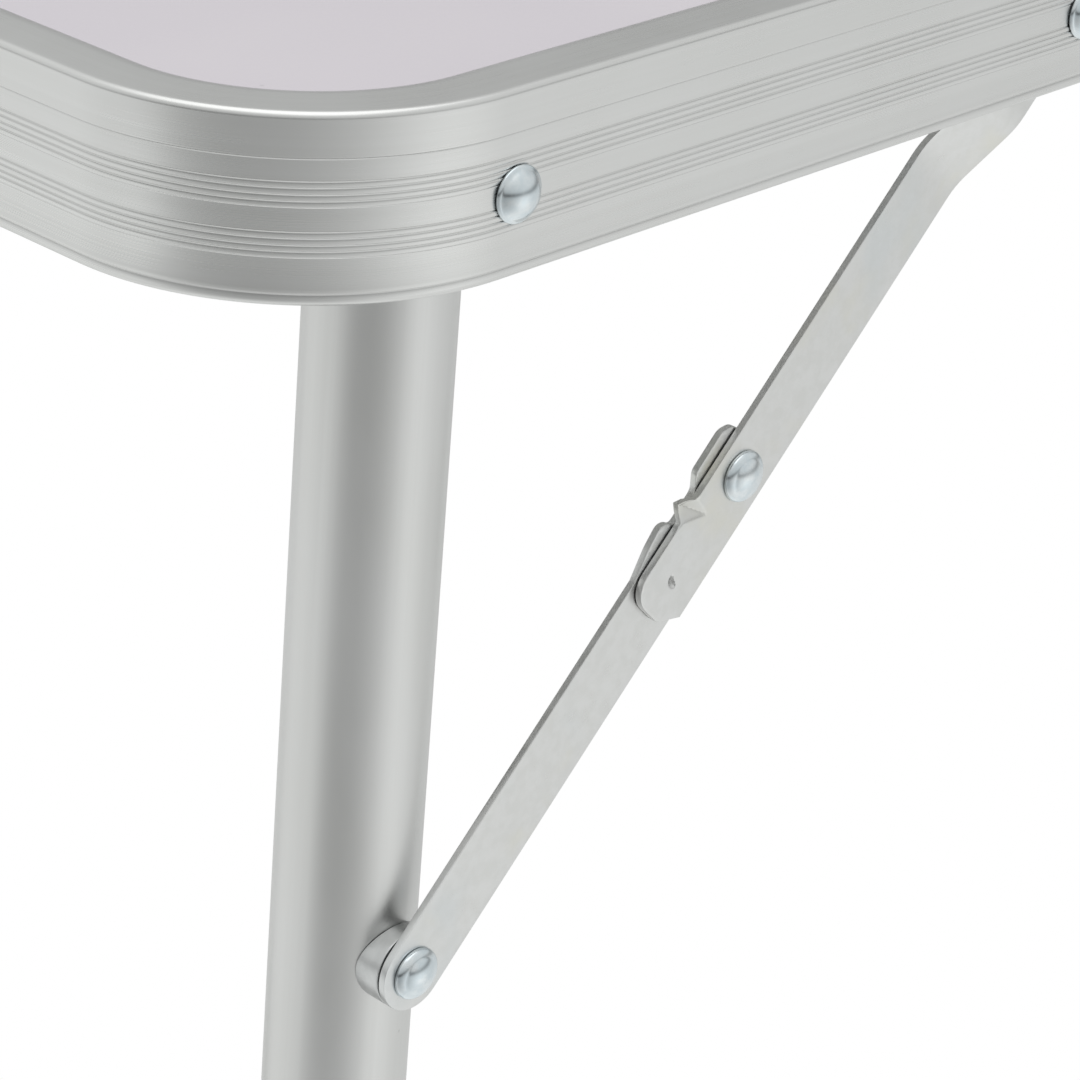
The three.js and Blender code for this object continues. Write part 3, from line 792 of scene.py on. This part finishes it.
def strap_shell(loop, holes, shape, fine=()):
    """A flat strip of an outline (u along it, v across it) with eased edges and holes.

    shape moves a point (u, v, depth) of the flat strip to its place; fine lists (centre, reach, spacing)
    patches where the faces carry a closer grid.
    """
    shell = Shell()
    loops = [loop] + [list(reversed(hole)) for hole in holes]
    eased = [offset(each, EDGE_BREAK) for each in loops]
    flat = [point for each in eased for point in each]
    edges = []
    start = 0
    for each in eased:
        count = len(each)
        edges += [(start + i, start + (i + 1) % count) for i in range(count)]
        start += count
    grid = face_grid(loop, holes, fine)
    made = delaunay_2d_cdt([Vector(p) for p in flat + grid], edges, [], 1, 1e-7)
    spots, triangles = made[0], made[2]
    kept = []
    for triangle in triangles:
        centroid = sum((spots[i] for i in triangle), Vector((0, 0))) / 3
        if not near_hole(centroid, holes, HOLE_RADIUS):
            kept.append(list(triangle))
    for depth, turn in ((0.0, 1), (STRAP, -1)):
        base = shell.add_points([shape(p.x, p.y, depth) for p in spots])
        for triangle in kept:
            corners = [base + i for i in triangle[::turn]]
            shell.add_face(corners, [tuple(spots[i]) for i in triangle[::turn]])
    for outer, inner_loop in zip(loops, eased):
        middle_loop = offset(outer, EDGE_BREAK * 0.3)
        layers = [(inner_loop, 0.0), (middle_loop, EDGE_BREAK * 0.3), (outer, EDGE_BREAK)]
        layers += [(points, STRAP - depth) for points, depth in reversed(layers)]
        rings = [[shape(u, v, depth) for u, v in points] for points, depth in layers]
        shell.loft(rings, capped=False)
    return shell


def soft_ramp(x, start, end, softness):
    """Runs from 0 at start to 1 at end, with rounded bends."""
    half = softness / 2

    def part(distance):
        if distance < -half:
            return 0.0
        if distance > half:
            return distance
        return (distance + half) ** 2 / (4 * half)

    return (part(x - start) - part(x - end)) / (end - start)


def on_link(origin, u, v, y):
    """A place in the front left quarter, u along a link from its origin and v towards the leg pivot."""
    spot = Vector((origin.x, 0, origin.z)) + LINK_DOWN * u + LINK_OUT * v
    return Vector((spot.x, y, spot.z))


TOOTH = (LINK_LENGTH + 11.2 * MM, 6.6 * MM)
TOOTH_REACH = (2.7 * MM, 4.8 * MM)
TOOTH_DEPTH = 1.9 * MM
TOOTH_BULGE = 1.3 * MM
DIMPLE = (LINK_LENGTH + 21.8 * MM, 0.2 * MM)
DIMPLE_RADIUS = 1.5 * MM
DIMPLE_DEPTH = 1.0 * MM


def tooth_push(u, v):
    """How far the struck tooth is pushed in, as a share of its depth: a leaning pyramid."""
    along = abs(u - TOOTH[0] + 0.45 * (TOOTH[1] - v)) / TOOTH_REACH[0]
    across = abs(v - TOOTH[1] - 0.6 * MM) / TOOTH_REACH[1]
    return max(0.0, 1 - along - across)


def upper_link_place(u, v, depth):
    """Where a point of the flat upper link goes, with its step past the rail, its tooth and its dimple."""
    face = UPPER_LOW.y + UPPER_STEP * soft_ramp(u, JOGGLE[0], JOGGLE[1], JOGGLE_SOFTNESS)
    push = tooth_push(u, v)
    inboard = TOOTH_DEPTH * push
    sideways = TOOTH_BULGE * min(1.0, 1.6 * push)
    du = u - DIMPLE[0]
    dv = v - DIMPLE[1]
    radius = math.hypot(du, dv)
    if du + 0.4 * dv > 0 and radius < DIMPLE_RADIUS:
        inboard += DIMPLE_DEPTH * (1 - radius / DIMPLE_RADIUS)
    return on_link(BRACE_PIVOT, u, v + sideways, face + depth + inboard)


def upper_link(signs, name, body, node):
    """The link from the rail to past the knee, with a tail that is rounded on one side only."""
    end = LINK_LENGTH + TAIL
    corner = 4.6 * MM
    loop = arc((0, 0), HALF_STRAP, 90, 270, 28)
    loop += [(end - 3.6 * MM, -HALF_STRAP), (end - 0.4 * MM, -2.8 * MM), (end, -1.6 * MM)]
    loop += arc((end - corner, HALF_STRAP - corner), corner, 0, 90, 14)
    loop = spread_points(loop, 1.2 * MM)
    fine = [((TOOTH[0], TOOTH[1] - 1.5 * MM), 4.4 * MM, 0.3 * MM), (DIMPLE, 2.0 * MM, 0.22 * MM)]
    shell = strap_shell(loop, [pivot_hole(0), pivot_hole(LINK_LENGTH)], upper_link_place, fine)
    make_piece(name, shell, STRAP_METAL, body, [node], signs, 36)


def lower_link_place(u, v, depth):
    return on_link(KNEE, u, v, LOWER_LOW.y + depth)


def lower_link(signs, name, body, node):
    """The lower link's lobes stand out towards the leg pivot, either side of the tooth's notch."""
    lobes = [(26.5, 7.0), (20.8, 8.7), (16.6, 9.3), (15.2, 8.4), (14.6, 6.6), (7.7, 6.6), (5.2, 9.1)]
    lobes += [(-3.2, 9.2), (-5.4, 7.6), (-6.2, 4.2)]
    loop = arc((0, 0), HALF_STRAP, 150, 270, 20)
    loop += arc((LINK_LENGTH, 0), HALF_STRAP, -90, 90, 28)
    loop += rounded_run([(u * MM, v * MM) for u, v in lobes], 0.9 * MM)
    loop = spread_points(loop, 1.2 * MM)
    shell = strap_shell(loop, [pivot_hole(0), pivot_hole(LINK_LENGTH)], lower_link_place)
    make_piece(name, shell, STRAP_METAL, body, [node], signs, 36)


def rounded_run(points, radius, steps=4):
    """An open run of points with its inner corners eased."""
    eased = [points[0]]
    for before, here, after in zip(points, points[1:], points[2:]):
        before, here, after = Vector(before), Vector(here), Vector(after)
        start = here + (before - here).normalized() * min(radius, (here - before).length * 0.45)
        end = here + (after - here).normalized() * min(radius, (after - here).length * 0.45)
        for step in range(steps + 1):
            t = step / steps
            eased.append(tuple(start * (1 - t) ** 2 + here * 2 * t * (1 - t) + end * t ** 2))
    return eased + [points[-1]]


# ---------------------------------------------------------------- corners

def leg_pieces(corner, signs, body):
    leg_tube(signs, f"leg_{corner}", body, f"leg_tube_{corner}")
    weld_bead(signs, f"weld_{corner}", body)
    foot_cap(signs, f"cap_{corner}", body, f"foot_cap_{corner}")
    ring(signs, f"spacer_{corner}", body, f"brace_spacer_{corner}", SPACER_METAL, "spacer", saddle=True)
    stud(signs, f"stud_{corner}", body, f"leg_stud_{corner}")


def rail_rivets(corner, signs):
    """The rivets through the rail that a leg and its brace hang on, and the rings that space them."""
    body = "tabletop"
    leg_reach = TUBE_HIGH.y + HALF_WIDTH + 0.1 * MM
    brace_reach = UPPER_LOW.y + STRAP + HALF_WIDTH
    ring(signs, f"bush_{corner}", body, f"leg_pivot_bush_{corner}", PLASTIC, "plastic")
    ring(signs, f"washer_{corner}", body, f"brace_pivot_washer_{corner}", SPACER_METAL, "spacer")
    for kind, reach in (("leg", leg_reach), ("brace", brace_reach)):
        rivet(signs, f"{kind}_rivet_{corner}", body, f"{kind}_pivot_rivet_{corner}", -HALF_WIDTH, reach,
              2.9 * MM, 0.5 * MM)


def brace_pieces(corner, signs):
    """Two links, the knee rivet that joins them, and the head of the rivet at the brace's foot."""
    upper_body = f"upper_brace_{corner}"
    lower_body = f"lower_brace_{corner}"
    knee_reach = LOWER_HIGH.y - MAIN_FACE
    height = 2.7 * MM
    shoulder = 1.3 * MM
    upper_link(signs, f"long_link_{corner}", upper_body, f"upper_link_{corner}")
    rivet(signs, f"knee_rivet_{corner}", upper_body, f"middle_rivet_{corner}", MAIN_FACE, knee_reach,
          height, shoulder)
    lower_link(signs, f"short_link_{corner}", lower_body, f"lower_link_{corner}")
    rivet(signs, f"foot_rivet_{corner}", lower_body, f"lower_rivet_{corner}", LOWER_LOW.y, STRAP * 0.9,
          height, shoulder, clinched=False)


def finish_cad_piece(node):
    """Gives a node that is shown in its CAD shape the rail's metal and eased edges."""
    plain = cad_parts[node]
    plain.data.materials.clear()
    plain.data.materials.append(RAIL_METAL)
    ease = plain.modifiers.new("eased_edges", "BEVEL")
    ease.width = 0.25 * MM
    ease.segments = 2


# ---------------------------------------------------------------- stage, lights and camera

EVEN_LIGHT = 0.77
LEAST_LIGHT = 0.02
CAMERA_PLACE = Vector((-HALF_LENGTH - 0.3354, -HALF_WIDTH - 0.3676, TOP + 0.1859))
CAMERA_TURN = -46.86
CAMERA_DOWN = 26.11
CAMERA_ROLL = 3.01
CAMERA_LENS = 125.93
SENSOR_WIDTH = 36


def studio_floor():
    """A pale floor, plain white to the camera. Reflections leave it out, as the sky stands for it."""
    bpy.ops.mesh.primitive_plane_add(size=8)
    floor = bpy.context.object
    floor.name = "studio_floor"
    graph = Graph("studio_floor")
    graph.finish(Base_Color=rgb(0.8, 0.8, 0.8), Roughness=0.9)
    glow = graph.node("ShaderNodeEmission", Color=rgb(1, 1, 1), Strength=1.0)
    path = graph.nodes.new("ShaderNodeLightPath")
    choose = graph.nodes.new("ShaderNodeMixShader")
    graph.links.new(path.outputs["Is Camera Ray"], choose.inputs[0])
    graph.links.new(graph.shader.outputs[0], choose.inputs[1])
    graph.links.new(glow.outputs[0], choose.inputs[2])
    graph.links.new(choose.outputs[0], graph.nodes["Material Output"].inputs["Surface"])
    floor.data.materials.append(graph.material)
    floor.visible_glossy = False


class Sky(Graph):
    """The studio round the table, as light from each direction."""

    def __init__(self, name):
        world = bpy.data.worlds.new(name)
        bpy.context.scene.world = world
        world.use_nodes = True
        self.nodes = world.node_tree.nodes
        self.links = world.node_tree.links
        self.background = self.nodes["Background"]
        self.direction = self.nodes.new("ShaderNodeTexCoord").outputs["Generated"]

    def fade(self, distance):
        """Falls from 1 at a distance of 0 as the distance runs below it."""
        return self.combine(math.e, distance, "POWER")

    def lobe(self, azimuth, elevation, tightness, strength):
        """A soft patch of light round a direction in degrees (0 is +X, 90 is +Y)."""
        turn, rise = math.radians(azimuth), math.radians(elevation)
        flat = math.cos(rise)
        towards = self.nodes.new("ShaderNodeVectorMath")
        towards.operation = "DOT_PRODUCT"
        towards.inputs[1].default_value = (flat * math.cos(turn), flat * math.sin(turn), math.sin(rise))
        self.links.new(self.direction, towards.inputs[0])
        distance = self.combine(towards.outputs["Value"], -1.0)
        fall = self.fade(self.combine(distance, tightness, "MULTIPLY"))
        return self.combine(fall, strength, "MULTIPLY")

    def horizon(self, thickness, strength):
        """A soft band of light round the horizon."""
        split = self.nodes.new("ShaderNodeSeparateXYZ")
        self.links.new(self.direction, split.inputs[0])
        share = self.combine(split.outputs["Z"], thickness, "DIVIDE")
        square = self.combine(share, share, "MULTIPLY")
        fall = self.fade(self.combine(square, -1.0, "MULTIPLY"))
        return self.combine(fall, strength, "MULTIPLY")


def studio_sky():
    """An even light with soft patches, each an azimuth, an elevation, a tightness and a strength."""
    patches = (
        (204.6, -26, 2.0, -0.37),
        (285.6, -26, 10.9, 0.33),
        (163.1, -26, 48.0, 0.30),
        (128.0, -26, 5.0, 0.22),
        (30.0, 26, 5.0, -0.32),
        (0.0, 90, 4.0, 0.30),
        (0.0, -90, 4.0, 0.30),
    )
    sky = Sky("studio")
    light = EVEN_LIGHT
    for azimuth, elevation, tightness, strength in patches:
        light = sky.combine(light, sky.lobe(azimuth, elevation, tightness, strength))
    light = sky.combine(light, sky.horizon(0.11, -0.42))
    light = sky.combine(light, LEAST_LIGHT, "MAXIMUM")
    sky.background.inputs["Color"].default_value = rgb(0.985, 1.0, 0.99)
    sky.links.new(light, sky.background.inputs["Strength"])


def softbox(name, target, azimuth, elevation, distance, size, power):
    """An area light aimed at the target, from an azimuth (0 is +X, 90 is +Y) and elevation in degrees."""
    turn, rise = math.radians(azimuth), math.radians(elevation)
    away = Vector((math.cos(rise) * math.cos(turn), math.cos(rise) * math.sin(turn), math.sin(rise)))
    light = bpy.data.lights.new(name, "AREA")
    light.shape = "RECTANGLE"
    light.size, light.size_y = size
    light.energy = power
    lamp = bpy.data.objects.new(name, light)
    bpy.context.scene.collection.objects.link(lamp)
    lamp.location = Vector(target) + away * distance
    lamp.rotation_euler = away.to_track_quat("Z", "Y").to_euler()
    lamp.visible_camera = False


def place_camera():
    """A camera beyond the front left corner, looking down at it through a long lens."""
    data = bpy.data.cameras.new("camera")
    data.sensor_width = SENSOR_WIDTH
    data.lens = CAMERA_LENS
    camera = bpy.data.objects.new("camera", data)
    bpy.context.scene.collection.objects.link(camera)
    turn = Matrix.Rotation(math.radians(CAMERA_TURN), 4, "Z")
    down = Matrix.Rotation(math.radians(90 - CAMERA_DOWN), 4, "X")
    roll = Matrix.Rotation(math.radians(CAMERA_ROLL), 4, "Z")
    camera.matrix_world = Matrix.Translation(CAMERA_PLACE) @ turn @ down @ roll
    bpy.context.scene.camera = camera


# ---------------------------------------------------------------- assembly

edge_rails()
board()
for plain_node in ("rail_splice_front", "rail_splice_back", "support_bar"):
    finish_cad_piece(plain_node)
for end, sign_x in (("left", -1), ("right", 1)):
    leg_frame = f"leg_frame_{end}"
    cross_tube(sign_x, f"crossbar_{end}", leg_frame, f"cross_tube_{end}")
    for side, sign_y in (("front", -1), ("back", 1)):
        corner = f"{side}_{end}"
        signs = (sign_x, sign_y)
        leg_pieces(corner, signs, leg_frame)
        rail_rivets(corner, signs)
        brace_pieces(corner, signs)

studio_floor()
studio_sky()
softbox("top", (0.0, 0.0, TOP), 200, 75, 1.6, (1.8, 1.8), 5)
place_camera()
bpy.context.scene.view_settings.view_transform = "Standard"
